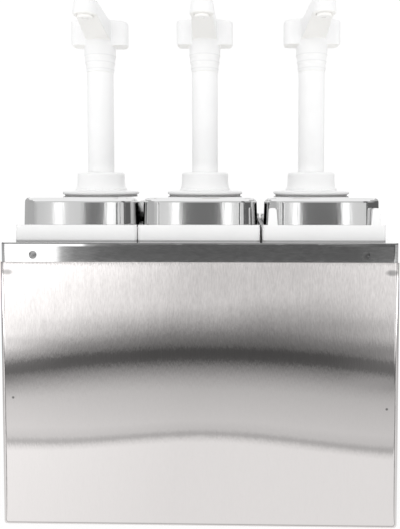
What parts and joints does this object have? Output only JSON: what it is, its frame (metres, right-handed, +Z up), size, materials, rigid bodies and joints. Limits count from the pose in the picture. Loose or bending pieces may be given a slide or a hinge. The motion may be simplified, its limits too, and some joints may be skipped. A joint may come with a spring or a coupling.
{
  "type": "sauce pump dispenser",
  "caption": "Steel counter box holding a row of plastic sauce jars, each under a steel lid with a hand pump whose winged head is pressed down to feed a swivelling spout.",
  "frame": {"origin": "middle of the housing's base, on the table", "axes": "+Z up, +X to the right along the row of jars, -Y towards the user"},
  "size_m": [0.347, 0.2154, 0.4685],
  "materials": {
    "housing_steel": "vertical brushed",
    "screw_steel": "satin",
    "lid_steel": "polished",
    "jar_plastic": "moulded",
    "pump_plastic": "moulded",
    "barrel_plastic": "natural moulded",
    "seal_rubber": "moulded",
    "spring_steel": "drawn wire",
    "ball_steel": "polished"
  },
  "bodies": {
    "housing": {"housing_shell": "housing_steel", "rear_panel": "housing_steel", "base_pan": "housing_steel", "top_frame": "housing_steel", "lap_strip": "housing_steel", "housing_screws": "screw_steel"},
    "left_jar": {"left_jar": "jar_plastic"},
    "left_lid": {"left_lid": "lid_steel", "left_gasket": "seal_rubber", "left_mount_flange": "pump_plastic", "left_collar_nut": "pump_plastic", "left_lock_nut": "pump_plastic", "left_barrel": "barrel_plastic", "left_foot_valve": "barrel_plastic", "left_inlet_ball": "ball_steel", "left_suction_tube": "barrel_plastic", "left_return_spring": "spring_steel"},
    "left_plunger": {"left_piston": "barrel_plastic", "left_piston_seal": "seal_rubber", "left_outlet_ball": "ball_steel"},
    "left_spout": {"left_plunger_tube": "pump_plastic", "left_pump_head": "pump_plastic", "left_outlet": "pump_plastic"},
    "middle_jar": {"middle_jar": "jar_plastic"},
    "middle_lid": {"middle_lid": "lid_steel", "middle_gasket": "seal_rubber", "middle_mount_flange": "pump_plastic", "middle_collar_nut": "pump_plastic", "middle_lock_nut": "pump_plastic", "middle_barrel": "barrel_plastic", "middle_foot_valve": "barrel_plastic", "middle_inlet_ball": "ball_steel", "middle_suction_tube": "barrel_plastic", "middle_return_spring": "spring_steel"},
    "middle_plunger": {"middle_piston": "barrel_plastic", "middle_piston_seal": "seal_rubber", "middle_outlet_ball": "ball_steel"},
    "middle_spout": {"middle_plunger_tube": "pump_plastic", "middle_pump_head": "pump_plastic", "middle_outlet": "pump_plastic"},
    "right_jar": {"right_jar": "jar_plastic"},
    "right_lid": {"right_lid": "lid_steel", "right_gasket": "seal_rubber", "right_mount_flange": "pump_plastic", "right_collar_nut": "pump_plastic", "right_lock_nut": "pump_plastic", "right_barrel": "barrel_plastic", "right_foot_valve": "barrel_plastic", "right_inlet_ball": "ball_steel", "right_suction_tube": "barrel_plastic", "right_return_spring": "spring_steel"},
    "right_plunger": {"right_piston": "barrel_plastic", "right_piston_seal": "seal_rubber", "right_outlet_ball": "ball_steel"},
    "right_spout": {"right_plunger_tube": "pump_plastic", "right_pump_head": "pump_plastic", "right_outlet": "pump_plastic"}
  },
  "joints": [
    {"name": "left_jar_lift", "type": "slide", "parent": "housing", "child": "left_jar", "axis": [0, 0, 1], "range_m": [0, 0.24]},
    {"name": "left_lid_lift", "type": "slide", "parent": "left_jar", "child": "left_lid", "axis": [0, 0, 1], "range_m": [0, 0.24]},
    {"name": "left_pump_press", "type": "slide", "parent": "left_lid", "child": "left_plunger", "axis": [0, 0, -1], "range_m": [0, 0.09], "stiffness_N_per_m": 200, "springref_m": -0.04, "deforming": ["left_return_spring"]},
    {"name": "left_spout_swivel", "type": "hinge", "parent": "left_plunger", "child": "left_spout", "pos_m": [-0.1105, 0, 0.35], "axis": [0, 0, 1], "range_deg": [-30, 30]},
    {"name": "middle_jar_lift", "type": "slide", "parent": "housing", "child": "middle_jar", "axis": [0, 0, 1], "range_m": [0, 0.24]},
    {"name": "middle_lid_lift", "type": "slide", "parent": "middle_jar", "child": "middle_lid", "axis": [0, 0, 1], "range_m": [0, 0.24]},
    {"name": "middle_pump_press", "type": "slide", "parent": "middle_lid", "child": "middle_plunger", "axis": [0, 0, -1], "range_m": [0, 0.09], "stiffness_N_per_m": 200, "springref_m": -0.04, "deforming": ["middle_return_spring"]},
    {"name": "middle_spout_swivel", "type": "hinge", "parent": "middle_plunger", "child": "middle_spout", "pos_m": [-0.0009, 0, 0.35], "axis": [0, 0, 1], "range_deg": [-30, 30]},
    {"name": "right_jar_lift", "type": "slide", "parent": "housing", "child": "right_jar", "axis": [0, 0, 1], "range_m": [0, 0.24]},
    {"name": "right_lid_lift", "type": "slide", "parent": "right_jar", "child": "right_lid", "axis": [0, 0, 1], "range_m": [0, 0.24]},
    {"name": "right_pump_press", "type": "slide", "parent": "right_lid", "child": "right_plunger", "axis": [0, 0, -1], "range_m": [0, 0.09], "stiffness_N_per_m": 200, "springref_m": -0.04, "deforming": ["right_return_spring"]},
    {"name": "right_spout_swivel", "type": "hinge", "parent": "right_plunger", "child": "right_spout", "pos_m": [0.1102, 0, 0.35], "axis": [0, 0, 1], "range_deg": [-30, 30]}
  ]
}
